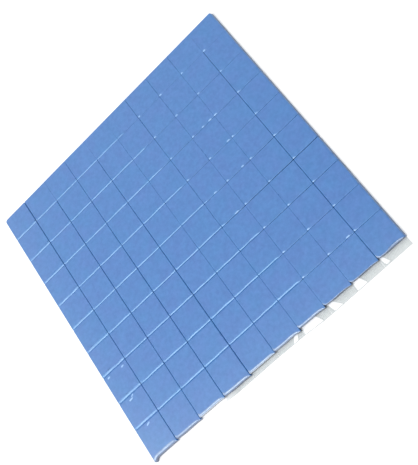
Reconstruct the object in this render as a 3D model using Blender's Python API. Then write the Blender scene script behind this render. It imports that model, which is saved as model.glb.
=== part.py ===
"""Sheet of square thermal pads, cut in strips of ten on a clear liner film.

Units are metres and +Z is up. The sheet lies flat, with its film on the floor. X runs along the
front edge and Y towards the back edge. The origin is on the floor, in the middle of the footprint.
"""
import math

import bmesh
import bpy
from mathutils import Matrix

# Pads
PAD_PITCH = 0.010  # from one cut to the next, both ways
COLUMNS = 10
ROWS = 10
PAD_THICKNESS = 0.0015
ROW_CUT_OFFSET = 0.0005  # the row cuts sit this far towards the back, so the front row is deeper
PAD_EDGE_RADIUS = 0.0003  # rounding of the pads' upper edges
STRIP_CORNER_RADIUS = 0.0004  # rounding in plan at the ends of a strip
SHEET_CORNER_RADIUS = 0.0010  # the sheet's back left corner is rounder
CORNER_SEGMENTS = 4

# Cuts
STRIP_GAP = 0.0002  # open cut between two strips
KERF_WIDTH = 0.00015  # cut across a strip, between two of its pads
KERF_LIP = 0.00035  # half width of the kerf's opening at the upper face
WEB_THICKNESS = 0.0001  # left under each kerf, so that a strip is one piece

# Liner film
FILM_THICKNESS = 0.0001
FILM_CLEARANCE = 0.00003  # between the film and the pads that it carries
FILM_LIP_FIRST_CUT = 3  # the film shows past the front edge from this column cut on
FILM_LIP_NARROW = 0.0011  # how far it shows at that cut
FILM_LIP_WIDE = 0.0028  # and at the right end
FILM_SLIT_WIDTH = 0.0002  # each column cut carries on through the lip

# Colours, linear
PAD_BLUE = (0.155, 0.300, 0.610, 1.0)
FILM_GREY = (0.650, 0.700, 0.700, 0.45)

# Worked out from the sizes above
SHEET_WIDTH = COLUMNS * PAD_PITCH
SHEET_DEPTH = ROWS * PAD_PITCH
LEFT = -SHEET_WIDTH / 2
RIGHT = SHEET_WIDTH / 2
FRONT = (FILM_LIP_WIDE - SHEET_DEPTH) / 2
BACK = FRONT + SHEET_DEPTH
PAD_BOTTOM = FILM_THICKNESS + FILM_CLEARANCE
PAD_TOP = PAD_BOTTOM + PAD_THICKNESS
CUTTER_REACH = PAD_PITCH  # how far a cutter runs past what it cuts


def clear_scene():
    for item in list(bpy.data.objects):
        bpy.data.objects.remove(item, do_unlink=True)


def new_collection(name):
    collection = bpy.data.collections.new(name)
    bpy.context.scene.collection.children.link(collection)
    return collection


def principled(name, color, roughness, alpha=1.0):
    material = bpy.data.materials.new(name)
    material.use_nodes = True
    material.diffuse_color = color
    shader = material.node_tree.nodes["Principled BSDF"]
    shader.inputs["Base Color"].default_value = (*color[:3], 1.0)
    shader.inputs["Roughness"].default_value = roughness
    shader.inputs["Metallic"].default_value = 0.0
    shader.inputs["Alpha"].default_value = alpha
    return material


def column_cut(number):
    """X of a column cut, where 0 is the sheet's left edge."""
    return LEFT + number * PAD_PITCH


def row_cut(number):
    """Y of a row cut, counted from the front edge."""
    return FRONT + number * PAD_PITCH + ROW_CUT_OFFSET


def new_object(name, mesh, collection, location=(0.0, 0.0, 0.0)):
    item = bpy.data.objects.new(name, mesh)
    item.location = location
    collection.objects.link(item)
    return item


def make_cutter(name, collection, section_height, section_depth, turn, level):
    """Nine bars along X, one over each row cut, with a given section."""
    shape = bmesh.new()
    length = SHEET_WIDTH + 2 * CUTTER_REACH
    for number in range(1, ROWS):
        place = (
            Matrix.Translation((0.0, row_cut(number), level))
            @ Matrix.Rotation(turn, 4, "X")
            @ Matrix.Diagonal((length, section_depth, section_height, 1.0))
        )
        bmesh.ops.create_cube(shape, size=1.0, matrix=place)
    mesh = bpy.data.meshes.new(name)
    shape.to_mesh(mesh)
    shape.free()
    cutter = new_object(name, mesh, collection)
    cutter.hide_render = True
    cutter.display_type = "WIRE"
    return cutter


def make_kerf_cutter(collection):
    height = PAD_THICKNESS - WEB_THICKNESS + CUTTER_REACH
    level = PAD_BOTTOM + WEB_THICKNESS + height / 2
    return make_cutter("row_kerf_cutter", collection, height, KERF_WIDTH, 0.0, level)


def make_lip_cutter(collection):
    """Square bars standing on edge, which open each kerf into a shallow V."""
    side = KERF_LIP * math.sqrt(2.0)
    return make_cutter("row_lip_cutter", collection, side, side, math.radians(45.0), PAD_TOP)


def strip_sides(index):
    """Left and right faces of a strip: half of the open cut comes off each inner side."""
    left = column_cut(index)
    right = column_cut(index + 1)
    if index > 0:
        left += STRIP_GAP / 2
    if index < COLUMNS - 1:
        right -= STRIP_GAP / 2
    return left, right


def bevel(shape, edges, radius, segments):
    bmesh.ops.bevel(
        shape, geom=edges, offset=radius, offset_type="OFFSET",
        segments=segments, profile=0.5, affect="EDGES",
    )


def round_corners(shape, sheet_corner):
    """Rounds a block's upright edges, the back left one more if it is the sheet's own corner."""
    upright = [edge for edge in shape.edges if abs(edge.verts[0].co.z - edge.verts[1].co.z) > 0.0]
    back_left = [edge for edge in upright if edge.verts[0].co.x < 0.0 < edge.verts[0].co.y]
    if sheet_corner:
        upright.remove(back_left[0])
        bevel(shape, back_left, SHEET_CORNER_RADIUS, CORNER_SEGMENTS)
        upright = [edge for edge in upright if edge.is_valid]
    bevel(shape, upright, STRIP_CORNER_RADIUS, CORNER_SEGMENTS)


def round_upper_edges(shape, top):
    near = PAD_THICKNESS / 100
    upper = [edge for edge in shape.edges if all(abs(v.co.z - top) < near for v in edge.verts)]
    bevel(shape, upper, PAD_EDGE_RADIUS, 2)


def add_boolean(item, operation, other):
    modifier = item.modifiers.new(other.name, "BOOLEAN")
    modifier.operation = operation
    modifier.solver = "EXACT"
    modifier.object = other


def make_row_cutter(collection):
    """The kerfs with their open lips, as one cutter for all strips."""
    kerfs = make_kerf_cutter(collection)
    add_boolean(kerfs, "UNION", make_lip_cutter(collection))
    return kerfs


def make_strip(index, collection, material, row_cutter):
    """A strip of pads from the front edge to the back edge, between two column cuts."""
    left, right = strip_sides(index)
    width = right - left
    shape = bmesh.new()
    size = Matrix.Diagonal((width, SHEET_DEPTH, PAD_THICKNESS, 1.0))
    bmesh.ops.create_cube(shape, size=1.0, matrix=size)
    round_corners(shape, sheet_corner=(index == 0))
    round_upper_edges(shape, PAD_THICKNESS / 2)
    name = f"pad_strip_{index + 1:02d}"
    mesh = bpy.data.meshes.new(name)
    shape.to_mesh(mesh)
    shape.free()
    mesh.materials.append(material)
    place = ((left + right) / 2, (FRONT + BACK) / 2, PAD_BOTTOM + PAD_THICKNESS / 2)
    strip = new_object(name, mesh, collection, place)
    add_boolean(strip, "DIFFERENCE", row_cutter)


def film_lip(x):
    """How far the film shows past the pads' front edge at x."""
    start = column_cut(FILM_LIP_FIRST_CUT)
    share = (x - start) / (RIGHT - start)
    return FILM_LIP_NARROW + share * (FILM_LIP_WIDE - FILM_LIP_NARROW)


def film_outline():
    """Anticlockwise from the front left corner, with a slit in the lip at each column cut."""
    points = [(LEFT, FRONT)]
    start = column_cut(FILM_LIP_FIRST_CUT)
    points.append((start, FRONT))
    points.append((start, FRONT - film_lip(start)))
    for number in range(FILM_LIP_FIRST_CUT + 1, COLUMNS):
        before = column_cut(number) - FILM_SLIT_WIDTH / 2
        after = column_cut(number) + FILM_SLIT_WIDTH / 2
        points.append((before, FRONT - film_lip(before)))
        points.append((before, FRONT))
        points.append((after, FRONT))
        points.append((after, FRONT - film_lip(after)))
    points.append((RIGHT, FRONT - FILM_LIP_WIDE))
    points.append((RIGHT, BACK))
    for step in range(CORNER_SEGMENTS + 1):
        angle = math.radians(90.0) * (1.0 + step / CORNER_SEGMENTS)
        x = LEFT + SHEET_CORNER_RADIUS * (1.0 + math.cos(angle))
        y = BACK - SHEET_CORNER_RADIUS * (1.0 - math.sin(angle))
        points.append((x, y))
    return points


def make_film(collection, material):
    curve = bpy.data.curves.new("liner_film", "CURVE")
    curve.dimensions = "2D"
    curve.fill_mode = "BOTH"
    curve.extrude = FILM_THICKNESS / 2
    points = film_outline()
    outline = curve.splines.new("POLY")
    outline.points.add(len(points) - 1)
    for point, (x, y) in zip(outline.points, points):
        point.co = (x, y, 0.0, 1.0)
    outline.use_cyclic_u = True
    curve.materials.append(material)
    film = bpy.data.objects.new("liner_film", curve)
    film.location = (0.0, 0.0, FILM_THICKNESS / 2)
    collection.objects.link(film)


def main():
    clear_scene()
    sheet = new_collection("thermal_pad_sheet")
    tools = new_collection("cutters")
    pad_material = principled("pad_silicone", PAD_BLUE, 0.55)
    film_material = principled("liner_film", FILM_GREY, 0.25, alpha=FILM_GREY[3])
    row_cutter = make_row_cutter(tools)
    make_film(sheet, film_material)
    for index in range(COLUMNS):
        make_strip(index, sheet, pad_material, row_cutter)


main()
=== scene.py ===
"""Looks of the thermal pad sheet: soft blue pads, cut in a grid, on a thin clear film.

Lengths in this script are millimetres, in the frame's axes. They become metres where a mesh, a lamp
or the camera is made.
"""
import math

import bpy
import numpy as np
from mathutils import Matrix, Vector, noise


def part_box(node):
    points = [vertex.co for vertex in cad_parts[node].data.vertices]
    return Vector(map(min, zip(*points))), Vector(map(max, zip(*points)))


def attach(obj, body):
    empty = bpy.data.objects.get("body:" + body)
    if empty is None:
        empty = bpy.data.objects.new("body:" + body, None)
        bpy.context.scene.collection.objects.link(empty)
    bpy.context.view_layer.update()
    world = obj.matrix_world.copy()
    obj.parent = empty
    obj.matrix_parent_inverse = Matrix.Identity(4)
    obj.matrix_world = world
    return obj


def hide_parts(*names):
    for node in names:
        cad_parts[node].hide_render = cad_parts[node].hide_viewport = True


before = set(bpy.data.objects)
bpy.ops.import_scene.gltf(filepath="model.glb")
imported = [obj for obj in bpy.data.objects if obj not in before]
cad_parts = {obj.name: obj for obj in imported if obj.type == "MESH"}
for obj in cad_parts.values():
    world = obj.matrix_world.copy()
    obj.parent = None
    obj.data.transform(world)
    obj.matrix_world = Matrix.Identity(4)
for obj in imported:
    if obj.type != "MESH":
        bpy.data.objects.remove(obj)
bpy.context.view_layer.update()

MM = 0.001

# The grid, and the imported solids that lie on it
COLUMNS = 10
ROWS = 10
STRIP_NAMES = [f"pad_strip_{index + 1:02d}" for index in range(COLUMNS)]


def box_mm(node):
    """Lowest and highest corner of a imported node's box, in millimetres."""
    low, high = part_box(node)
    return [value / MM for value in low], [value / MM for value in high]


FIRST_LOW, FIRST_HIGH = box_mm(STRIP_NAMES[0])
FILM_LOW, FILM_HIGH = box_mm("liner_film")
LEFT, FRONT = FIRST_LOW[:2]
RIGHT = box_mm(STRIP_NAMES[-1])[1][0]
BACK, PAD_TOP = FIRST_HIGH[1:]
PITCH = (RIGHT - LEFT) / COLUMNS
ROW_CUT_OFFSET = 0.5  # the row cuts sit this far towards the back of an even grid
FILM_THICKNESS_SHARE = 0.9  # of its solid's thickness, so that the film stays inside it
FILM_THICKNESS = FILM_THICKNESS_SHARE * (FILM_HIGH[2] - FILM_LOW[2])
FILM_LEVEL = (FILM_LOW[2] + FILM_HIGH[2]) / 2
FILM_TOP = FILM_LEVEL + FILM_THICKNESS / 2

# How far each column cut lies to the right of the even grid, at the front, middle and back
COLUMN_WANDER = (
    (-0.15, -0.12, -0.20), (-0.22, 0.05, 0.00), (-0.20, 0.05, 0.15),
    (0.10, 0.06, -0.05), (0.05, 0.00, -0.10), (-0.08, -0.10, -0.20),
    (-0.28, -0.25, -0.22), (-0.35, -0.35, -0.22), (-0.18, -0.26, -0.12),
)
# How wide each column cut stands open, at the front, middle and back
COLUMN_OPENING = (
    (0.25, 0.19, 0.36), (0.12, 0.20, 0.18), (0.18, 0.18, 0.06),
    (0.30, 0.18, 0.06), (0.12, 0.02, 0.00), (0.03, 0.05, 0.10),
    (0.00, 0.00, 0.06), (0.00, 0.00, 0.04), (0.16, 0.14, 0.10),
)
# How far each row cut lies behind the even grid, at the left, middle and right
ROW_WANDER = (
    (-0.15, 0.02, 0.15), (-0.12, 0.00, 0.18), (0.05, 0.02, 0.20),
    (0.08, 0.02, 0.22), (0.00, 0.02, 0.22), (-0.15, -0.04, 0.22),
    (-0.08, -0.02, 0.22), (0.05, 0.03, 0.25), (0.02, 0.10, 0.25),
)
# How wide each row cut stands open, at the left, middle and right
ROW_OPENING = (
    (0.02, 0.04, 0.04), (0.02, 0.05, 0.04), (0.05, 0.08, 0.06),
    (0.04, 0.07, 0.18), (0.03, 0.04, 0.06), (0.03, 0.03, 0.03),
    (0.03, 0.04, 0.04), (0.05, 0.06, 0.04), (0.03, 0.03, 0.02),
)
LEAST_OPENING = 0.015
GAP_SHARE = 0.30  # an open column cut is a V, so only this share of its width is a gap
CLOSED_AT_BACK = (2, 4, 5, 9)  # column cuts that nearly close in the last row
CLOSED_SHARE = 0.3
# Small waves along the cuts, as size and period, and those of the openings as a share of them
COLUMN_CUT_WAVE = (0.05, 3.5)
COLUMN_OPENING_WAVE = (0.35, 2.5)
ROW_CUT_WAVE = (0.06, 4.0)
ROW_CUT_RIPPLE = (0.015, 1.3)
ROW_OPENING_WAVE = (0.5, 2.0)

# How far the sheet's left and right edge lie inside the CAD box, and its back edge, with their waves
EDGE_INWARD = (0.02, 0.38)
EDGE_WAVES = ((0.015, 9.0), (0.05, 9.0))
RIGHT_FOOT_INWARD = 0.05  # the right wall flares, so its foot lies nearly at the box
BACK_INWARD = 0.06
BACK_WAVE = (0.03, 22.0)
BACK_RIPPLE = (0.015, 4.0)

# Pad form: width of the lip round the upper face, by the side it is on
LIP_FACING_FRONT = 0.80
LIP_FIRST_COLUMN_SHARE = 1.35  # and wider than that in the first column
LIP_FACING_FRONT_WORN = 0.14  # towards the back right, where the die pressed less
LIP_WORN_FROM = (18.5, 18.0, 18.0, 11.5, 11.5, 7.5, 6.0, 5.5, 2.5)  # x, for each row cut
LIP_WORN_LENGTH = 1.0  # the lip narrows over this length
LIP_FACING_BACK = 0.14
LIP_CORNER_SHARE = 0.45  # a worn lip is wider again next to the pad's front left corner
LIP_CORNER_PLACE = 0.60
LIP_CORNER_HALF_LENGTH = 0.60
LIP_FAINT = 0.05  # both lips of the last row cuts, at the right
FAINT_FROM_ROW_CUT = 8
FAINT_FROM_COLUMN = 5
LIP_BESIDE_CUT = 0.06  # along a closed column cut; an open one adds a share of its width
LIP_BESIDE_CUT_SHARE = 0.75
LIP_SHEET_FRONT = (1.00, 0.70, 0.85, 0.80, 0.68, 0.62, 0.62, 0.15, 0.13, 0.24)  # by column
LIP_SHEET_BACK = 0.15
LIP_SHEET_LEFT = 0.12
LIP_SHEET_RIGHT = 0.20
# How the width of a lip that faces the front wanders, as a share of it, and the period
LIP_SHEET_FRONT_WAVE = (0.10, 2.8)
LIP_FACING_FRONT_WAVE = (0.30, 2.8)
# Short stretches of wide lip in the worn part, each with a sliver: row cut, middle and half length
LIP_DASHES = (
    (1, 37.5, 0.9), (4, 16.5, 1.0), (5, 15.0, 0.7), (5, 26.7, 0.6),
    (6, 28.2, 0.8), (7, 24.7, 0.6), (7, 27.8, 0.8),
)

# Section of a lip from the wall to the face: (way inward, drop below the face), as shares of its
# width. Most lips are quarter rounds. Those that face the front are shallow shoulders.
LIP_ROUND = (
    (0.0, 1.0), (0.034, 0.741), (0.134, 0.5), (0.293, 0.293), (0.5, 0.134), (0.741, 0.034), (1.0, 0.0),
)
LIP_SHOULDER = (
    (0.0, 0.40), (0.02, 0.31), (0.07, 0.24), (0.20, 0.16), (0.42, 0.084), (0.68, 0.026), (1.0, 0.0),
)

# Radius of the pads' corners in plan
LEAST_RADIUS = 0.03  # of a ring's corner, however far inward the ring lies
CORNER_RADIUS = 0.12
PAD_FRONT_LEFT_CORNER = 0.30
STRIP_FRONT_CORNERS = (0.15, 0.35, 0.35, 0.35, 0.35, 0.35, 0.40, 0.80, 0.80, 0.80)  # front left
CORNER_GROWTH = 0.50  # a front left corner is this much rounder at the face than at the wall
CORNER_DROP = 0.15  # and its lip drops this much deeper
SHEET_CORNER_GROWTH = 0.45  # the same for the sheet's own front left corner
SHEET_CORNER_DROP = 0.10
BACK_LEFT_CORNER = 1.05
BACK_RIGHT_CORNER = 0.45
FRONT_RIGHT_CORNER = 0.35

# Small slivers that the die raised, each just in front of a row cut: row cut, x, distance in front
# of the cut, length and turn in plan in degrees
NICKS = (
    (1, -45.1, 0.85, 1.40, 22.0), (2, -45.6, 1.25, 1.50, 8.0), (2, -44.6, 0.50, 1.00, 30.0),
    (3, -42.1, 1.15, 1.10, 10.0), (3, -48.1, 1.00, 1.10, 12.0),
)
NICK_WIDTH = 0.46
NICK_HEIGHT = 0.09
NICK_ROOT = 0.12  # sunk in the pad

# Section of a sliver: place across it as a share of its width, and rise as a share of its height. What
# lies below the face is a depth in millimetres.
NICK_SECTION = ((-0.5, -NICK_ROOT), (-0.5, 0.0), (0.35, 0.8), (0.5, 1.0), (0.5, -NICK_ROOT))
# Places along a sliver, as shares of its length, and how much of its height is left there
NICK_TAPERS = ((-0.5, 0.3), (-0.2, 1.0), (0.25, 0.9), (0.5, 0.2))
NICK_LEAST_WIDTH = 0.6  # share of its width that would be left where it has no height
NICK_CLEARANCE = 0.002  # under the top of the CAD box

# Burrs that the die raised where two cuts cross, on the pad behind and to the right. They are short
# slivers, and most crossings where the lips are worn have one.
BURR_PLACE = (0.50, 0.32)  # to the right of the column cut and behind the row cut
BURR_LENGTH = 0.75
BURR_LENGTH_WAVE = (0.8, 1.0)
BURR_WAVE_STEP = 7.3  # way along that wave from one crossing to the next
BURR_SHORTEST = 0.30  # a crossing that would get a shorter one has none
DASH_LENGTH_SHARE = 1.5  # length of a sliver at a stretch of wide lip, as a share of its half length

# Points of a pad's rings
SIDE_STEPS = 18
SIDE_CROWDING = 0.65  # how far the points of a side crowd towards its ends
CORNER_STEPS = 5
FOOT_INSET = 0.04  # the wall starts this far inward on the film, and is plumb from this height
FOOT_HEIGHT = 0.12
FRONT_FOOT_REACH = 0.5  # a foot this near to the sheet's front edge belongs to its front wall
RIGHT_FOOT_REACH = 1.0  # and this near to its right edge to its right wall
TOP_INSETS = (0.30, 0.7, 1.3, 2.2, 3.4)  # rings on the face, inward from the lip
STRIP_GUARD = 0.001  # a point at a pad's right end counts as this far inside its strip

FACE_SLACK = 0.07  # the faces' mean level is this far under the CAD box, to leave room for slivers
FACE_WAVE = (0.01, 6.5)
FACE_WAVE_SLANT = 0.37  # share of y that counts in the way along the wave


def three_point(values, share):
    """A smooth line through three values, at share 0, 0.5 and 1."""
    first, middle, last = values
    bend = 2.0 * (first + last - 2.0 * middle)
    return first + (last - first - bend) * share + bend * share * share


def wander(position, wave, seed):
    """A smooth random line along a position, for a wave given as size and period."""
    size, period = wave
    return size * noise.noise(Vector((position / period, seed * 3.7, seed * 1.3)))


def column_cut(number, y):
    """Centre and opening of a column cut at a place along it."""
    share = (y - FRONT) / (BACK - FRONT)
    even = LEFT + number * PITCH
    if number in (0, COLUMNS):
        at_right = number == COLUMNS
        inward = EDGE_INWARD[at_right] + wander(y, EDGE_WAVES[at_right], seed=31 + number)
        edge = even - inward if at_right else even + inward
        return edge, 0.0
    centre = even + three_point(COLUMN_WANDER[number - 1], share)
    centre += wander(y, COLUMN_CUT_WAVE, seed=number)
    opening = three_point(COLUMN_OPENING[number - 1], share)
    opening *= 1.0 + wander(y, COLUMN_OPENING_WAVE, seed=50 + number)
    if number in CLOSED_AT_BACK and y > BACK - PITCH + ROW_CUT_OFFSET:
        opening *= CLOSED_SHARE
    return centre, max(opening, LEAST_OPENING)


def column_gap(number, y):
    """Centre of a column cut and the width of the gap at its foot."""
    centre, opening = column_cut(number, y)
    return centre, GAP_SHARE * opening


def row_cut(number, x):
    """Centre and opening of a row cut at a place along it."""
    share = (x - LEFT) / (RIGHT - LEFT)
    even = FRONT + number * PITCH
    if number == 0:
        return even + front_setback(x), 0.0
    if number == ROWS:
        return even - BACK_INWARD - wander(x, BACK_WAVE, seed=71) - wander(x, BACK_RIPPLE, seed=72), 0.0
    centre = even + ROW_CUT_OFFSET + three_point(ROW_WANDER[number - 1], share)
    centre += wander(x, ROW_CUT_WAVE, seed=80 + number) + wander(x, ROW_CUT_RIPPLE, seed=90 + number)
    opening = three_point(ROW_OPENING[number - 1], share)
    opening *= 1.0 + wander(x, ROW_OPENING_WAVE, seed=110 + number)
    return centre, opening


# The front end of each strip, by column
FRONT_OUT = (0.40, 0.30, 0.10, 0.37, 0.28, 0.23, -0.06, 0.00, 0.04, 0.13)  # past the even line
FRONT_STEP = (0.05, 0.20, 0.12, 0.25, 0.15, 0.15, 0.15, 0.20, 0.15, 0.20)  # back at its left corner
FRONT_STEP_LENGTH = 2.2
FRONT_JUT = (0.10, 0.25, 0.30, 0.20, 0.10, 0.45, 0.40, 0.35, 0.25, 0.05)  # out at its right corner
FRONT_JUT_LENGTH = 1.6
FRONT_UNDERCUT = (0.02, 0.00, 0.62, 0.08, 0.30, 0.12, 0.15, 0.08, 0.08, 0.08)  # its foot stays back
FRONT_WALL_PAINTED_LIGHT = (0.0, 0.0, 0.75, 0.0, 0.65, 0.20, 0.10, 0.0, 0.0, 0.0)  # painted light that lightens the wall where it lies in shade, as a share
FRONT_WAVE = (0.03, 4.0)
TIP_JUT = 0.80  # the sheet's front left corner is pulled out, over a short length
TIP_LENGTH = 1.10
TIP_LIP = 0.3  # and its lip is this much wider


def along_strip_front(x):
    """The strip's index at x and how far x is past its left corner."""
    column = min(max(int((x - LEFT) / PITCH), 0), COLUMNS - 1)
    return column, x - LEFT - column * PITCH


def front_jut(x):
    """How far a strip's front end juts out at x, most at its right corner."""
    column, along = along_strip_front(x)
    return FRONT_JUT[column] * math.exp(-(((PITCH - along) / FRONT_JUT_LENGTH) ** 2))


def tip_share(x):
    """One at the sheet's front left corner, zero a little to the right of it."""
    return math.exp(-(((x - LEFT) / TIP_LENGTH) ** 4))


def front_setback(x):
    """How far the sheet's front edge lies behind the even line. Mostly it lies in front of it."""
    column, along = along_strip_front(x)
    step = FRONT_STEP[column] * math.exp(-((along / FRONT_STEP_LENGTH) ** 2))
    out = FRONT_OUT[column] + front_jut(x) + TIP_JUT * tip_share(x)
    return step - out + wander(x, FRONT_WAVE, seed=140)


def smooth(value):
    """Zero below 0, one above 1, with an even bend between."""
    value = min(max(value, 0.0), 1.0)
    return value * value * (3.0 - 2.0 * value)


# The sheet's front edge sags near its right end
SAG_MIDDLE = 46.5
SAG_HALF_LENGTH = 2.4
SAG = 0.50
# At the right end of each strip the front lip loses this share of its width, over this length
FRONT_END_LOSS = 0.75
FRONT_END_LENGTH = 0.9
FRONT_LIP_WAVE = (0.05, 5.0)


def front_lip(x):
    """Width of the lip along the sheet's front edge."""
    column, along = along_strip_front(x)
    sag = SAG * math.exp(-(((x - SAG_MIDDLE) / SAG_HALF_LENGTH) ** 4))
    end = 1.0 - FRONT_END_LOSS * math.exp(-(((PITCH - along) / FRONT_END_LENGTH) ** 2))
    width = (LIP_SHEET_FRONT[column] + sag) * end + TIP_LIP * tip_share(x)
    return width + wander(x, FRONT_LIP_WAVE, seed=150)


def facing_lip(row, x):
    """Width of a front lip inside the sheet: wide at the left, narrow at the right."""
    share = smooth((LIP_WORN_FROM[row - 1] - x) / LIP_WORN_LENGTH + 0.5)
    for number, middle, half_length in LIP_DASHES:
        if number == row:
            share = max(share, math.exp(-(((x - middle) / half_length) ** 2)))
    faint = row >= FAINT_FROM_ROW_CUT and x > LEFT + FAINT_FROM_COLUMN * PITCH
    worn = LIP_FAINT if faint else LIP_FACING_FRONT_WORN
    column, along = along_strip_front(x)
    from_corner = (along - LIP_CORNER_PLACE) / LIP_CORNER_HALF_LENGTH
    share = max(share, LIP_CORNER_SHARE * math.exp(-(from_corner ** 2)))
    wide = LIP_FACING_FRONT * (LIP_FIRST_COLUMN_SHARE if column == 0 else 1.0)
    return worn + (wide - worn) * share


def lip_widths(column, row, y_middle):
    """Mean lip width on the front, right, back and left side of a pad."""
    def beside(number):
        if number == 0:
            return LIP_SHEET_LEFT
        if number == COLUMNS:
            return LIP_SHEET_RIGHT
        lip = LIP_BESIDE_CUT + LIP_BESIDE_CUT_SHARE * column_cut(number, y_middle)[1]
        closed = row == ROWS - 1 and number in CLOSED_AT_BACK
        return lip * CLOSED_SHARE if closed else lip

    front = LIP_FACING_FRONT if row > 0 else LIP_SHEET_FRONT[column]
    back = LIP_FACING_BACK if row < ROWS - 1 else LIP_SHEET_BACK
    if FAINT_FROM_ROW_CUT - 1 <= row < ROWS - 1 and column >= FAINT_FROM_COLUMN:
        back = LIP_FAINT
    return front, beside(column + 1), back, beside(column)


def corner_radii(column, row):
    """Corner radius in plan at the front right, back right, back left and front left."""
    radii = [CORNER_RADIUS] * 4
    radii[3] = PAD_FRONT_LEFT_CORNER
    if row == 0:
        radii[3] = STRIP_FRONT_CORNERS[column]
    if (column, row) == (0, ROWS - 1):
        radii[2] = BACK_LEFT_CORNER
    if (column, row) == (COLUMNS - 1, ROWS - 1):
        radii[1] = BACK_RIGHT_CORNER
    if (column, row) == (COLUMNS - 1, 0):
        radii[0] = FRONT_RIGHT_CORNER
    return radii


def closer_at_ends(share):
    """Spreads the points of a side so that they lie closer together near its ends."""
    crowded = 0.5 - 0.5 * math.cos(math.pi * share)
    return share + SIDE_CROWDING * (crowded - share)


def ring(width, depth, insets, corners):
    """A rounded rectangle, anticlockwise, as (u, v, side, turn) for each point.

    Turn is 0 along a side and grows to 1 round the corner at its end.
    """
    front, right, back, left = insets
    x0, x1 = left, width - right
    y0, y1 = front, depth - back
    neighbours = ((front, right), (right, back), (back, left), (left, front))
    radii = [max(r - (a + b) / 2, LEAST_RADIUS) for r, (a, b) in zip(corners, neighbours)]
    centres = (
        (x1 - radii[0], y0 + radii[0]), (x1 - radii[1], y1 - radii[1]),
        (x0 + radii[2], y1 - radii[2]), (x0 + radii[3], y0 + radii[3]),
    )
    starts = ((x0 + radii[3], y0), (x1, y0 + radii[0]), (x1 - radii[1], y1), (x0, y1 - radii[2]))
    points = []
    for side in range(4):
        (cx, cy), (sx, sy), radius = centres[side], starts[side], radii[side]
        first_turn = math.radians(90.0 * side - 90.0)
        ex, ey = cx + radius * math.cos(first_turn), cy + radius * math.sin(first_turn)
        for step in range(SIDE_STEPS):
            share = closer_at_ends(step / SIDE_STEPS)
            points.append((sx + (ex - sx) * share, sy + (ey - sy) * share, side, 0.0))
        for step in range(CORNER_STEPS):
            turn = step / CORNER_STEPS
            angle = first_turn + math.radians(90.0 * turn)
            u, v = cx + radius * math.cos(angle), cy + radius * math.sin(angle)
            points.append((u, v, side, turn))
    return points


def face_height(x, y):
    """The faces aren't quite level: they rise and dip by up to a hundredth of a millimetre."""
    return PAD_TOP - FACE_SLACK - wander(x + FACE_WAVE_SLANT * y, FACE_WAVE, seed=201)


def foot_place(column, row, x, y):
    """The foot of the wall: under the front's juts it stays back, and at the right it flares."""
    if row == 0 and y < FRONT + FRONT_FOOT_REACH:
        y += front_jut(x) + FRONT_UNDERCUT[column]
    if column == COLUMNS - 1 and x > RIGHT - RIGHT_FOOT_REACH:
        x += EDGE_INWARD[1] - RIGHT_FOOT_INWARD
    return x, y


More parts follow.
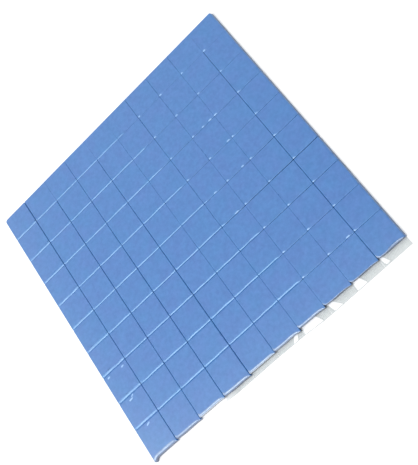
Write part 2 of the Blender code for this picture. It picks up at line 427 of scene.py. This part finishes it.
class Pad:
    """A pad of the even grid, with u and v from its front left corner, and how it meets the cuts."""

    def __init__(self, column, row):
        self.column, self.row = column, row
        self.x = LEFT + column * PITCH
        self.y = FRONT + row * PITCH + (ROW_CUT_OFFSET if row > 0 else 0.0)
        y_next = FRONT + (row + 1) * PITCH + (ROW_CUT_OFFSET if row < ROWS - 1 else 0.0)
        self.width, self.depth = PITCH, y_next - self.y
        self.lips = lip_widths(column, row, self.y + self.depth / 2)
        self.corners = corner_radii(column, row)
        own_corner = (column, row) == (0, 0)
        self.growth = SHEET_CORNER_GROWTH if own_corner else CORNER_GROWTH
        self.corner_drop = SHEET_CORNER_DROP if own_corner else CORNER_DROP

    def strip_x(self, u):
        """X on the even grid, kept inside the pad's own strip."""
        return self.x + min(u, self.width - STRIP_GUARD)

    def front_width(self, u):
        """Width of the lip on the pad's front side."""
        x = self.strip_x(u)
        lip = front_lip(x) if self.row == 0 else facing_lip(self.row, x)
        wave = LIP_SHEET_FRONT_WAVE if self.row == 0 else LIP_FACING_FRONT_WAVE
        return lip * (1.0 + wander(x, wave, seed=20 + self.row))

    def to_cuts(self, u, v):
        """Bends a point of the even pad to the four cuts round it."""
        x, y = self.strip_x(u), self.y + v
        left, left_gap = column_gap(self.column, y)
        right, right_gap = column_gap(self.column + 1, y)
        front, front_gap = row_cut(self.row, x)
        back, back_gap = row_cut(self.row + 1, x)
        low_x, high_x = left + left_gap / 2, right - right_gap / 2
        low_y, high_y = front + front_gap / 2, back - back_gap / 2
        x = low_x + (high_x - low_x) * u / self.width
        y = low_y + (high_y - low_y) * v / self.depth
        return x, y

    def opened_corners(self, insets, share):
        """The front left corner opens towards the face, so that it leans both ways."""
        opened = self.corners[3] + self.growth * share + (insets[0] + insets[3]) / 2
        return self.corners[:3] + [opened]

    def foot_ring(self, inset, z):
        """A ring of the plain wall, at a height over the floor."""
        points = []
        for u, v, *_ in ring(self.width, self.depth, (inset,) * 4, self.corners):
            x, y = foot_place(self.column, self.row, *self.to_cuts(u, v))
            points.append((x, y, z))
        return points

    def lip_ring(self, round_point, shoulder_point):
        """A ring of the lip, from one point of each section."""
        round_in, round_drop = round_point
        shoulder_in, shoulder_drop = shoulder_point
        insets = [self.lips[0] * shoulder_in] + [lip * round_in for lip in self.lips[1:]]
        corners = self.opened_corners(insets, shoulder_in)
        points = []
        for u, v, side, turn in ring(self.width, self.depth, insets, corners):
            drops = [lip * round_drop for lip in self.lips]
            drops[0] = self.front_width(u) * shoulder_drop
            here, after = drops[side], drops[(side + 1) % 4]
            drop = here + (after - here) * turn
            if side == 3:
                depth_share = shoulder_drop / LIP_SHOULDER[0][1]
                drop += self.corner_drop * math.sin(math.pi * turn) * depth_share
            on_front = {0: 1.0 - turn, 3: turn}.get(side, 0.0)
            v += (self.front_width(u) - self.lips[0]) * shoulder_in * on_front
            x, y = self.to_cuts(u, v)
            points.append((x, y, face_height(x, y) - drop))
        return points

    def face_ring(self, inset):
        """A ring on the face, inward from the lip."""
        insets = [lip + inset for lip in self.lips]
        points = []
        for u, v, *_ in ring(self.width, self.depth, insets, self.opened_corners(self.lips, 1.0)):
            x, y = self.to_cuts(u, v)
            points.append((x, y, face_height(x, y)))
        return points

    def rings(self):
        """Rings of points from the foot of the wall to near the middle of the face."""
        rings = [self.foot_ring(FOOT_INSET, FILM_TOP), self.foot_ring(0.0, FILM_TOP + FOOT_HEIGHT)]
        rings += [self.lip_ring(*pair) for pair in zip(LIP_ROUND, LIP_SHOULDER)]
        rings += [self.face_ring(inset) for inset in TOP_INSETS]
        return rings


# Material slots of a strip, in the order in which main makes the materials
FACE_SLOT, CUT_SLOT, FRONT_WALL_SLOT, FRONT_LIP_SLOT, NICK_SLOT = range(5)
WALL_LEVELS = 5  # bands up from the foot that look like the front wall, also on the lip's steep part


def band_slot(row, level, step, count):
    """Slot of a face between two rings: level counts up from the foot, step round the ring."""
    if level > len(LIP_ROUND):
        return FACE_SLOT
    if row == 0 and (step < SIDE_STEPS or step >= count - CORNER_STEPS):
        return FRONT_WALL_SLOT if level < WALL_LEVELS else FRONT_LIP_SLOT
    return CUT_SLOT


def add_pad(column, row, vertices, faces, slots):
    """Adds a pad to a strip's lists, where slots has the material slot of each face."""
    rings = Pad(column, row).rings()
    first = len(vertices)
    count = len(rings[0])
    for points in rings:
        vertices.extend((x * MM, y * MM, z * MM) for x, y, z in points)
    for level in range(len(rings) - 1):
        a = first + level * count
        b = a + count
        for step in range(count):
            after = (step + 1) % count
            faces.append((a + step, a + after, b + after, b + step))
            slots.append(band_slot(row, level, step, count))
    faces.append(tuple(first + step for step in reversed(range(count))))
    slots.append(CUT_SLOT)
    last = first + (len(rings) - 1) * count
    centre = np.mean([vertices[last + step] for step in range(count)], axis=0)
    vertices.append(tuple(centre))
    for step in range(count):
        faces.append((last + step, last + (step + 1) % count, len(vertices) - 1))
        slots.append(FACE_SLOT)


def burrs(column):
    """The burrs and long slivers behind the row cuts of one column of pads, as nicks."""
    found = [
        (number, middle, -BURR_PLACE[1], DASH_LENGTH_SHARE * half_length, 0.0)
        for number, middle, half_length in LIP_DASHES if along_strip_front(middle)[0] == column
    ]
    for number in range(1, ROWS):
        x = column_cut(column, FRONT + number * PITCH)[0] + BURR_PLACE[0]
        length_wave = wander(number * BURR_WAVE_STEP, BURR_LENGTH_WAVE, seed=170 + column)
        length = BURR_LENGTH * (1.0 + length_wave)
        if column > 0 and x > LIP_WORN_FROM[number - 1] and length > BURR_SHORTEST:
            found.append((number, x, -BURR_PLACE[1], length, 0.0))
    return found


def add_nick(number, x, in_front, length, turn_degrees, vertices, faces, slots):
    """A sliver, as a closed wedge sunk in the face, that rises towards the back."""
    turn = math.radians(turn_degrees)
    y = row_cut(number, x)[0] - in_front
    first = len(vertices)
    level = face_height(x, y)
    for along, taper in NICK_TAPERS:
        for across, rise in NICK_SECTION:
            a = along * length
            b = across * NICK_WIDTH * (NICK_LEAST_WIDTH + (1.0 - NICK_LEAST_WIDTH) * taper)
            z = level + (NICK_HEIGHT * rise * taper if rise > 0.0 else rise)
            px = x + a * math.cos(turn) - b * math.sin(turn)
            py = y + a * math.sin(turn) + b * math.cos(turn)
            vertices.append((px * MM, py * MM, min(z, PAD_TOP - NICK_CLEARANCE) * MM))
    count = len(NICK_SECTION)
    last = len(vertices) - count
    for a in range(first, last, count):
        b = a + count
        for step in range(count):
            after = (step + 1) % count
            faces.append((a + step, a + after, b + after, b + step))
            slots.append(NICK_SLOT)
    faces.append(tuple(first + step for step in reversed(range(count))))
    faces.append(tuple(last + step for step in range(count)))
    slots.extend((NICK_SLOT, NICK_SLOT))


SHARP_PAD_ANGLE = math.radians(60.0)  # only edges sharper than this look sharp

# Painted light: how far the blue is paled, as a share, where the lamps' sheen and glare brighten the
# faces. It fades over a reach that is given in pads.
PAINTED_LIGHT_LEFT = 0.042
PAINTED_LIGHT_FRONT = 0.034
PAINTED_LIGHT_SIDE_REACH = 1.2
PAINTED_LIGHT_CORNER = 0.045
PAINTED_LIGHT_CORNER_REACH = 1.5
PAINTED_LIGHT_PER_ROW = 0.0045  # and it grows a little towards the back


def painted_light_share(x, y):
    """Share of painted light that pales the blue: most at the front left corner, a little towards the
    back.
    """
    across, along = (x - LEFT) / PITCH, (y - FRONT) / PITCH
    left = PAINTED_LIGHT_LEFT * math.exp(-across / PAINTED_LIGHT_SIDE_REACH)
    front = PAINTED_LIGHT_FRONT * math.exp(-along / PAINTED_LIGHT_SIDE_REACH)
    corner = PAINTED_LIGHT_CORNER * math.exp(-(across + along) / PAINTED_LIGHT_CORNER_REACH)
    return left + front + corner + PAINTED_LIGHT_PER_ROW * along


def add_share(mesh, name, values):
    """A share for each point of a mesh, which its materials read."""
    mesh.attributes.new(name, "FLOAT", "POINT").data.foreach_set("value", values)


def make_strip(column, materials):
    """A column of ten pads with its slivers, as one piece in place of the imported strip."""
    vertices, faces, slots = [], [], []
    for row in range(ROWS):
        add_pad(column, row, vertices, faces, slots)
    own_nicks = [nick for nick in NICKS if along_strip_front(nick[1])[0] == column]
    for nick in own_nicks + burrs(column):
        add_nick(*nick, vertices, faces, slots)
    name = f"pads_column_{column + 1:02d}"
    mesh = bpy.data.meshes.new(name)
    mesh.from_pydata(vertices, [], faces)
    # Painted light on the faces, most at the sheet's front left
    add_share(mesh, "painted_light", [painted_light_share(x / MM, y / MM) for x, y, _ in vertices])
    # Painted light on the front walls that lie in shade
    add_share(mesh, "wall_painted_light", [FRONT_WALL_PAINTED_LIGHT[column]] * len(vertices))
    for material in materials[:max(slots) + 1]:
        mesh.materials.append(material)
    for polygon, slot in zip(mesh.polygons, slots):
        polygon.material_index = slot
    mesh.shade_smooth()
    mesh.set_sharp_from_angle(angle=SHARP_PAD_ANGLE)
    strip = bpy.data.objects.new(name, mesh)
    bpy.context.scene.collection.objects.link(strip)
    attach(strip, "root")
    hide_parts(STRIP_NAMES[column])


# Film
LIP_FIRST_CUT = 3  # the lip starts at this column cut
# How far the film shows past the pads: x and depth
LIP_DEPTHS = (
    (-22.0, 1.28), (-20.0, 1.40), (-17.0, 1.60), (0.0, 1.73), (10.0, 2.03), (17.0, 2.58), (24.0, 2.70),
    (50.0, 2.78),
)
LIP_DEPTH_WAVE = (0.04, 6.0)
LIP_CLEARANCE = 0.01  # inside the film's solid
# The lip's left end fans out by this much at its outer edge, and is lighter there with painted light
LIP_END_OUT = 1.3
LIP_END_LENGTH = 2.5
LIP_END_PAINTED_LIGHT = 0.75
LIP_END_PAINTED_LIGHT_LENGTH = 8.0
SLIT = 0.07
SLIT_OPENS_BY = 1.0 / 3.0  # a slit has its full width from this share of the way out
FILM_ROOT = 0.4  # the lip starts this far behind the pads' front edge
FILM_SIDE_INWARD = 0.25  # the film stops this far inside the pads' side edges
FILM_BACK_INWARD = 0.35
FILM_LIP_INWARD = 0.08  # at the right end of the lip's outer edge
LIP_X_STEPS = 40
LIP_Y_STEPS = 18
BODY_Y_STEPS = 10
SHARP_FILM_ANGLE = math.radians(40.0)

# Patches where the lip has come up, with a painted reflection of the lamps: left and right end at the
# pads' edge, left and right end at the outer edge, and the share of the lip's depth that it reaches
LIFTED_PATCHES = (
    (7.0, 8.5, 5.5, 7.4, 1.0), (10.1, 15.8, 10.1, 17.0, 1.0), (20.3, 22.3, 21.2, 24.4, 1.0),
    (29.7, 32.4, 29.8, 33.6, 1.0), (39.9, 41.2, 40.8, 42.4, 0.75),
)
LIFT_SLOPE = 0.05
PATCH_SOFTNESS = 0.60
PATCH_END_SOFTNESS = 0.2
PATCH_BEFORE_FLAP = 0.2  # a patch may start this far to the left of the flap that it is on
PATCH_AT_SLIT = 0.5  # a patch that starts this near to a slit lifts the flap's corner too
PAINTED_LIGHT_AT_PADS = 0.36  # painted light that lifts the film's shade next to the pads
PAINTED_LIGHT_AT_PADS_REACH = 0.8
RIM_START = 0.90  # a patch clears again at the lip's rim, from this share of the way out
RIM_LENGTH = 0.07
RIM_CLEARING = 0.80


def lip_depth(x):
    """How far the lip shows past the even front edge at x."""
    depth = float(np.interp(x, *zip(*LIP_DEPTHS)))
    return min(depth + wander(x, LIP_DEPTH_WAVE, seed=160), FRONT - FILM_LOW[1] - LIP_CLEARANCE)


def patch_ends(patch, out):
    """Left and right end of a patch at a share of the way out."""
    left_in, right_in, left_out, right_out, _ = patch
    return left_in + (left_out - left_in) * out, right_in + (right_out - right_in) * out


def painted_film_light_share(x, out):
    """Share of painted light on the lip at x, at a share of the way from the pads' edge to its own."""
    painted_film_light = PAINTED_LIGHT_AT_PADS * math.exp(-out * lip_depth(x) / PAINTED_LIGHT_AT_PADS_REACH)
    from_end = x - LEFT - LIP_FIRST_CUT * PITCH + LIP_END_OUT
    painted_film_light = max(painted_film_light, LIP_END_PAINTED_LIGHT * smooth(1.0 - from_end / LIP_END_PAINTED_LIGHT_LENGTH))
    rim = 1.0 - RIM_CLEARING * smooth((out - RIM_START) / RIM_LENGTH)
    for patch in LIFTED_PATCHES:
        left, right = patch_ends(patch, out)
        inside = smooth((x - left) / PATCH_SOFTNESS + 0.5) * smooth((right - x) / PATCH_SOFTNESS + 0.5)
        reached = smooth((patch[4] - out) / PATCH_END_SOFTNESS + 1.0)
        painted_film_light = max(painted_film_light, inside * rim * reached)
    return painted_film_light


def lip_lift(flap_start, x, out):
    """Height of the lip over its flat place: each patch lifts towards the outer edge."""
    first = flap_start - PATCH_BEFORE_FLAP
    lift = 0.0
    for patch in LIFTED_PATCHES:
        if not first <= patch[0] < first + PITCH:
            continue
        left, right = patch_ends(patch, out)
        width = (right - left) / 2
        from_right = smooth((right - x) / width)
        at_slit = patch[2] <= flap_start + PATCH_AT_SLIT
        from_left = 1.0 if at_slit else smooth((x - left) / width)
        lift = max(lift, LIFT_SLOPE * lip_depth(x) * out * from_right * from_left)
    return lift


class FilmSurface:
    """Points and faces of the layer in the film's middle, with its share of painted light at each
    point.
    """

    def __init__(self):
        self.vertices, self.faces, self.painted_film_light = [], [], []

    def add(self, x, y, z, painted_film_light):
        """Adds a point and gives back its number."""
        self.vertices.append((x * MM, y * MM, z * MM))
        self.painted_film_light.append(painted_film_light)
        return len(self.vertices) - 1

    def join(self, lower, upper):
        """Adds the faces between two rows of points."""
        for step in range(len(lower) - 1):
            self.faces.append((lower[step], lower[step + 1], upper[step + 1], upper[step]))


def add_film_body(surface):
    """The film under the pads. It gives back the points of its front row."""
    steps = COLUMNS * LIP_X_STEPS
    width = RIGHT - LEFT - 2 * FILM_SIDE_INWARD
    previous = None
    for y in np.linspace(BACK - FILM_BACK_INWARD, FRONT + FILM_ROOT, BODY_Y_STEPS):
        current = []
        for step in range(steps + 1):
            x = LEFT + FILM_SIDE_INWARD + width * step / steps
            current.append(surface.add(x, y, FILM_LEVEL, painted_film_light_share(x, 0.0)))
        if previous:
            surface.join(current, previous)
        previous = current
    return previous


def flap_x(cut, step, x, out):
    """X of a point of a flap, moved for the slits beside it and for the lip's ends."""
    gap = SLIT / 2 * min(out / SLIT_OPENS_BY, 1.0)
    if cut == LIP_FIRST_CUT:
        near_end = max(1.0 - (x - LEFT - cut * PITCH) / LIP_END_LENGTH, 0.0)
        x -= LIP_END_OUT * out * near_end
    elif step == 0:
        x += gap
    if cut == COLUMNS - 1:
        x += (FILM_SIDE_INWARD - FILM_LIP_INWARD) * out * step / LIP_X_STEPS
    elif step == LIP_X_STEPS:
        x -= gap
    return x


def add_flap(surface, cut, base):
    """The part of the lip to the right of a cut, out from points of the film's front row."""
    flap_start = LEFT + cut * PITCH
    upper = base
    for out_step in range(1, LIP_Y_STEPS + 1):
        out = out_step / LIP_Y_STEPS
        current = []
        for step, index in enumerate(base):
            x = flap_x(cut, step, surface.vertices[index][0] / MM, out)
            past = out * (lip_depth(x) + FILM_ROOT) - FILM_ROOT
            shown = max(past, 0.0) / lip_depth(x)
            z = FILM_LEVEL + lip_lift(flap_start, x, shown)
            current.append(surface.add(x, FRONT - past, z, painted_film_light_share(x, shown)))
        surface.join(current, upper)
        upper = current


def make_film(material):
    """The film as one sheet with a slit lip, thickened both ways."""
    surface = FilmSurface()
    front_row = add_film_body(surface)
    for cut in range(LIP_FIRST_CUT, COLUMNS):
        add_flap(surface, cut, front_row[cut * LIP_X_STEPS:(cut + 1) * LIP_X_STEPS + 1])
    mesh = bpy.data.meshes.new("liner_film_sheet")
    mesh.from_pydata(surface.vertices, [], surface.faces)
    mesh.materials.append(material)
    # Share of painted light and painted reflection on the film, which its material reads
    add_share(mesh, "painted_film_light", surface.painted_film_light)
    film = bpy.data.objects.new("liner_film_sheet", mesh)
    bpy.context.scene.collection.objects.link(film)
    bpy.context.view_layer.objects.active = film
    thick = film.modifiers.new("thickness", "SOLIDIFY")
    thick.thickness = FILM_THICKNESS * MM
    thick.offset = 0.0
    bpy.ops.object.modifier_apply(modifier=thick.name)
    film.data.shade_smooth()
    film.data.set_sharp_from_angle(angle=SHARP_FILM_ANGLE)
    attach(film, "root")
    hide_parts("liner_film")


# Materials. Colours are linear. Most of a noise lies between these two values.
NOISE_LOW = 0.3
NOISE_HIGH = 0.7


class Nodes:
    """A new material with its node tree, and short ways to add nodes to it."""

    def __init__(self, name):
        self.material = bpy.data.materials.new(name)
        self.material.use_nodes = True
        self.tree = self.material.node_tree
        self.shader = self.tree.nodes["Principled BSDF"]
        coordinates = self.tree.nodes.new("ShaderNodeTexCoord")
        self.place = coordinates.outputs["Object"]

    def link(self, output, socket):
        """Feeds an output into an input."""
        self.tree.links.new(output, socket)

    def noise(self, period_mm, detail=2.0):
        """A soft noise over the object, with spots about as large as the period."""
        node = self.tree.nodes.new("ShaderNodeTexNoise")
        node.inputs["Scale"].default_value = 1.0 / (period_mm * MM)
        node.inputs["Detail"].default_value = detail
        self.link(self.place, node.inputs["Vector"])
        return node.outputs["Fac"]

    def ramp(self, factor, low, high):
        """A colour between two, by a noise."""
        node = self.tree.nodes.new("ShaderNodeValToRGB")
        node.color_ramp.elements[0].position = NOISE_LOW
        node.color_ramp.elements[0].color = low
        node.color_ramp.elements[1].position = NOISE_HIGH
        node.color_ramp.elements[1].color = high
        self.link(factor, node.inputs["Fac"])
        return node.outputs["Color"]

    def span(self, factor, low, high):
        """A number between two, by a noise."""
        node = self.tree.nodes.new("ShaderNodeMapRange")
        node.inputs["From Min"].default_value = NOISE_LOW
        node.inputs["From Max"].default_value = NOISE_HIGH
        node.inputs["To Min"].default_value = low
        node.inputs["To Max"].default_value = high
        self.link(factor, node.inputs["Value"])
        return node.outputs["Result"]

    def colour(self, value):
        """One fixed colour."""
        node = self.tree.nodes.new("ShaderNodeRGB")
        node.outputs[0].default_value = value
        return node.outputs[0]

    def attribute(self, name):
        """A share that the mesh has for each of its points."""
        node = self.tree.nodes.new("ShaderNodeAttribute")
        node.attribute_name = name
        return node.outputs["Fac"]

    def mix(self, factor, first, second):
        """A mix of two colours, where the factor is a number or an output."""
        node = self.tree.nodes.new("ShaderNodeMixRGB")
        if isinstance(factor, float):
            node.inputs["Fac"].default_value = factor
        else:
            self.link(factor, node.inputs["Fac"])
        self.link(first, node.inputs["Color1"])
        self.link(second, node.inputs["Color2"])
        return node.outputs["Color"]

    def blend(self, factor, first, second):
        """A mix of an output and a number, by a factor between 0 and 1."""
        node = self.tree.nodes.new("ShaderNodeMix")
        self.link(factor, node.inputs[0])
        self.link(first, node.inputs[2])
        node.inputs[3].default_value = second
        return node.outputs[0]

    def bump(self, height, strength, distance_mm):
        """Fine relief from a noise."""
        node = self.tree.nodes.new("ShaderNodeBump")
        node.inputs["Strength"].default_value = strength
        node.inputs["Distance"].default_value = distance_mm * MM
        self.link(height, node.inputs["Height"])
        self.link(node.outputs["Normal"], self.shader.inputs["Normal"])


# Painted light: what the blue pales to at the sheet's front left, and what front walls in shade are
# lightened to
PAINTED_LIGHT_COLOUR = (0.52, 0.62, 0.74, 1)
WALL_PAINTED_LIGHT_COLOUR = (0.66, 0.72, 0.80, 1)


def silicone(name, roughness):
    """Blue filled silicone: faintly mottled, with a fine grain, and paled in places with painted light
    where the lamps' sheen and glare fall.
    """
    nodes = Nodes(name)
    broad = nodes.ramp(nodes.noise(4.5), (0.054, 0.138, 0.391, 1), (0.037, 0.160, 0.397, 1))
    fine = nodes.ramp(nodes.noise(1.1, 4.0), (0.027, 0.120, 0.337, 1), (0.060, 0.182, 0.458, 1))
    blue = nodes.mix(0.5, broad, fine)
    # Painted light: the blue pales towards a light grey blue where the share says
    tone = nodes.mix(nodes.attribute("painted_light"), blue, nodes.colour(PAINTED_LIGHT_COLOUR))
    nodes.link(tone, nodes.shader.inputs["Base Color"])
    nodes.link(nodes.span(nodes.noise(2.5, 3.0), *roughness), nodes.shader.inputs["Roughness"])
    nodes.shader.inputs["IOR"].default_value = 1.5
    return nodes


def face_material():
    """The pads' faces: soft and satin."""
    nodes = silicone("pad_silicone_face", (0.42, 0.46))
    nodes.bump(nodes.noise(0.35, 3.0), 0.2, 0.02)
    return nodes.material


def cut_material():
    """Cut faces and their rolled lips: smoother, with a slight gloss."""
    nodes = silicone("pad_silicone_cut", (0.27, 0.32))
    nodes.shader.inputs["IOR"].default_value = 1.62
    nodes.shader.inputs["Specular Tint"].default_value = (0.62, 0.86, 1.0, 1.0)
    nodes.bump(nodes.noise(0.9, 1.0), 0.04, 0.01)
    return nodes.material


def front_wall_material():
    """The sheet's front wall, cut through: greyer than the faces, and lightened with painted light
    where it lies in shade.
    """
    nodes = Nodes("pad_silicone_front_wall")
    tone = nodes.ramp(nodes.noise(1.2, 3.0), (0.16, 0.20, 0.30, 1), (0.24, 0.29, 0.41, 1))
    # Painted light: walls in shade under an undercut are lightened towards a pale grey
    tone = nodes.mix(nodes.attribute("wall_painted_light"), tone, nodes.colour(WALL_PAINTED_LIGHT_COLOUR))
    nodes.link(tone, nodes.shader.inputs["Base Color"])
    nodes.shader.inputs["Roughness"].default_value = 0.55
    nodes.bump(nodes.noise(0.4, 2.0), 0.3, 0.02)
    return nodes.material


def nick_material():
    """Slivers and burrs, torn, and paler than the pads: a painted highlight where they catch the lamps.
    """
    nodes = Nodes("pad_silicone_sliver_painted_highlight")
    # Painted highlight: a pale blue that stands in for the glint on each sliver and burr
    tone = nodes.ramp(nodes.noise(0.6), (0.16, 0.32, 0.60, 1), (0.26, 0.44, 0.72, 1))
    nodes.link(tone, nodes.shader.inputs["Base Color"])
    nodes.shader.inputs["Roughness"].default_value = 0.42
    return nodes.material


def front_lip_material():
    """The lip over the front wall: pressed smooth, so glossy; its blue is paler than the faces, a
    painted highlight along the ridge.
    """
    nodes = Nodes("pad_silicone_front_lip")
    # Painted highlight: a paler blue that adds to the glint along the front ridge
    tone = nodes.ramp(nodes.noise(1.1, 3.0), (0.09, 0.15, 0.30, 1), (0.15, 0.22, 0.38, 1))
    nodes.link(tone, nodes.shader.inputs["Base Color"])
    nodes.link(nodes.span(nodes.noise(1.6, 3.0), 0.25, 0.36), nodes.shader.inputs["Roughness"])
    nodes.shader.inputs["IOR"].default_value = 1.72
    nodes.shader.inputs["Specular Tint"].default_value = (0.78, 0.92, 1.0, 1.0)
    nodes.bump(nodes.noise(0.9, 1.0), 0.04, 0.01)
    return nodes.material


def film_material():
    """Clear and slightly hazy, and white where its share of painted light is high: a painted reflection
    of the lamps where the lip has come up, and painted light next to the pads and at the lip's left
    end.
    """
    nodes = Nodes("liner_film_clear")
    haze = nodes.noise(3.0, 3.0)
    painted_film_light = nodes.attribute("painted_film_light")
    tint = nodes.ramp(haze, (0.46, 0.52, 0.53, 1), (0.54, 0.59, 0.60, 1))
    white = nodes.ramp(haze, (0.93, 0.95, 0.95, 1), (0.97, 0.98, 0.98, 1))
    # Painted reflection and painted light: white and nearly opaque where the share is high
    nodes.link(nodes.mix(painted_film_light, tint, white), nodes.shader.inputs["Base Color"])
    nodes.link(nodes.span(haze, 0.16, 0.22), nodes.shader.inputs["Roughness"])
    clear = nodes.span(haze, 0.25, 0.29)
    nodes.link(nodes.blend(painted_film_light, clear, 0.95), nodes.shader.inputs["Alpha"])
    nodes.shader.inputs["IOR"].default_value = 1.57
    nodes.shader.inputs["Coat Weight"].default_value = 1.0
    nodes.shader.inputs["Coat Roughness"].default_value = 0.14
    nodes.shader.inputs["Coat IOR"].default_value = 1.8
    return nodes.material


def floor_material():
    """Plain pale paper."""
    nodes = Nodes("floor_paper")
    tone = nodes.ramp(nodes.noise(60.0), (0.885, 0.885, 0.885, 1), (0.90, 0.90, 0.90, 1))
    nodes.link(tone, nodes.shader.inputs["Base Color"])
    nodes.shader.inputs["Roughness"].default_value = 0.8
    nodes.shader.inputs["Specular IOR Level"].default_value = 0.1
    return nodes.material


# Stage
FLOOR_HALF = 1500.0


def make_floor():
    """The floor under the sheet, wide enough to fill the picture."""
    bpy.ops.mesh.primitive_plane_add(size=2 * FLOOR_HALF * MM)
    floor = bpy.context.object
    floor.name = "floor"
    floor.data.materials.append(floor_material())


# The camera was fitted to the photo's cut lines and outline. Angles are in degrees.
CAMERA_AIM = (5.75, -6.28, 1.63)
CAMERA_DISTANCE = 294.2
CAMERA_ELEVATION = 59.85  # of the camera over the floor, seen from the aim
CAMERA_HEADING = 116.81  # of its view, from +X towards +Y
CAMERA_ROLL = -67.12
CAMERA_FOCUS_PX = 965.8
IMAGE_WIDTH_PX = 418
SENSOR_WIDTH = 36.0


def make_camera():
    """The photo's camera."""
    elevation = math.radians(CAMERA_ELEVATION)
    heading = math.radians(CAMERA_HEADING)
    roll = math.radians(CAMERA_ROLL)
    flat = math.cos(elevation)
    forward = Vector((flat * math.cos(heading), flat * math.sin(heading), -math.sin(elevation)))
    level_right = forward.cross(Vector((0.0, 0.0, 1.0))).normalized()
    level_up = level_right.cross(forward)
    right = math.cos(roll) * level_right + math.sin(roll) * level_up
    up = -math.sin(roll) * level_right + math.cos(roll) * level_up
    turn = Matrix((right, up, -forward)).transposed().to_4x4()
    place = (Vector(CAMERA_AIM) - forward * CAMERA_DISTANCE) * MM
    data = bpy.data.cameras.new("camera")
    data.sensor_fit = "HORIZONTAL"
    data.sensor_width = SENSOR_WIDTH
    data.lens = CAMERA_FOCUS_PX * SENSOR_WIDTH / IMAGE_WIDTH_PX
    data.clip_start = 0.01
    camera = bpy.data.objects.new("camera", data)
    camera.matrix_world = Matrix.Translation(place) @ turn
    bpy.context.scene.collection.objects.link(camera)
    bpy.context.scene.camera = camera


def make_lamp(name, place, aim, width, height, radiance):
    """A soft box of even radiance. Blender's area lamp power is radiance x pi x area."""
    data = bpy.data.lights.new(name, "AREA")
    data.shape = "RECTANGLE"
    data.size = width * MM
    data.size_y = height * MM
    data.energy = radiance * math.pi * width * MM * height * MM
    lamp = bpy.data.objects.new(name, data)
    direction = Vector(aim) - Vector(place)
    turn = direction.to_track_quat("-Z", "Y").to_matrix().to_4x4()
    lamp.matrix_world = Matrix.Translation(Vector(place) * MM) @ turn
    bpy.context.scene.collection.objects.link(lamp)


WORLD_RADIANCE = 0.45


def make_world():
    """Even white light from all round."""
    world = bpy.data.worlds.new("studio")
    bpy.context.scene.world = world
    world.use_nodes = True
    back = world.node_tree.nodes["Background"]
    back.inputs["Color"].default_value = (1.0, 1.0, 1.0, 1.0)
    back.inputs["Strength"].default_value = WORLD_RADIANCE


# Lamps: name, place, aim, width, height and radiance. The lips that face the front mirror the first
# two, and the film mirrors the last one.
SHEET_MIDDLE = (0.0, 0.0, 0.0)
LAMPS = (
    ("key", (-312.0, -130.0, 890.0), SHEET_MIDDLE, 295.0, 320.0, 16.5),
    ("key_side", (-75.0, -140.0, 890.0), SHEET_MIDDLE, 180.0, 100.0, 26.0),
    ("window", (-520.0, 140.0, 700.0), SHEET_MIDDLE, 280.0, 280.0, 4.6),
    ("left", (-700.0, -60.0, 650.0), SHEET_MIDDLE, 220.0, 220.0, 10.0),
    ("back", (-200.0, 600.0, 600.0), SHEET_MIDDLE, 300.0, 300.0, 1.8),
    ("fill", (330.0, 260.0, 600.0), SHEET_MIDDLE, 300.0, 300.0, 1.0),
    ("film_glint", (-15.0, 258.0, 500.0), (15.0, -50.0, 0.0), 220.0, 30.0, 4.5),
)


def set_view():
    """Plain display colours, as a catalogue photo has them."""
    bpy.context.scene.view_settings.view_transform = "Standard"
    bpy.context.scene.view_settings.look = "None"


def main():
    """Builds the camera, the sheet, the floor and the lights."""
    make_camera()
    materials = (
        face_material(), cut_material(), front_wall_material(), front_lip_material(), nick_material(),
    )
    for column in range(COLUMNS):
        make_strip(column, materials)
    make_film(film_material())
    make_floor()
    make_world()
    for lamp in LAMPS:
        make_lamp(*lamp)
    set_view()


main()
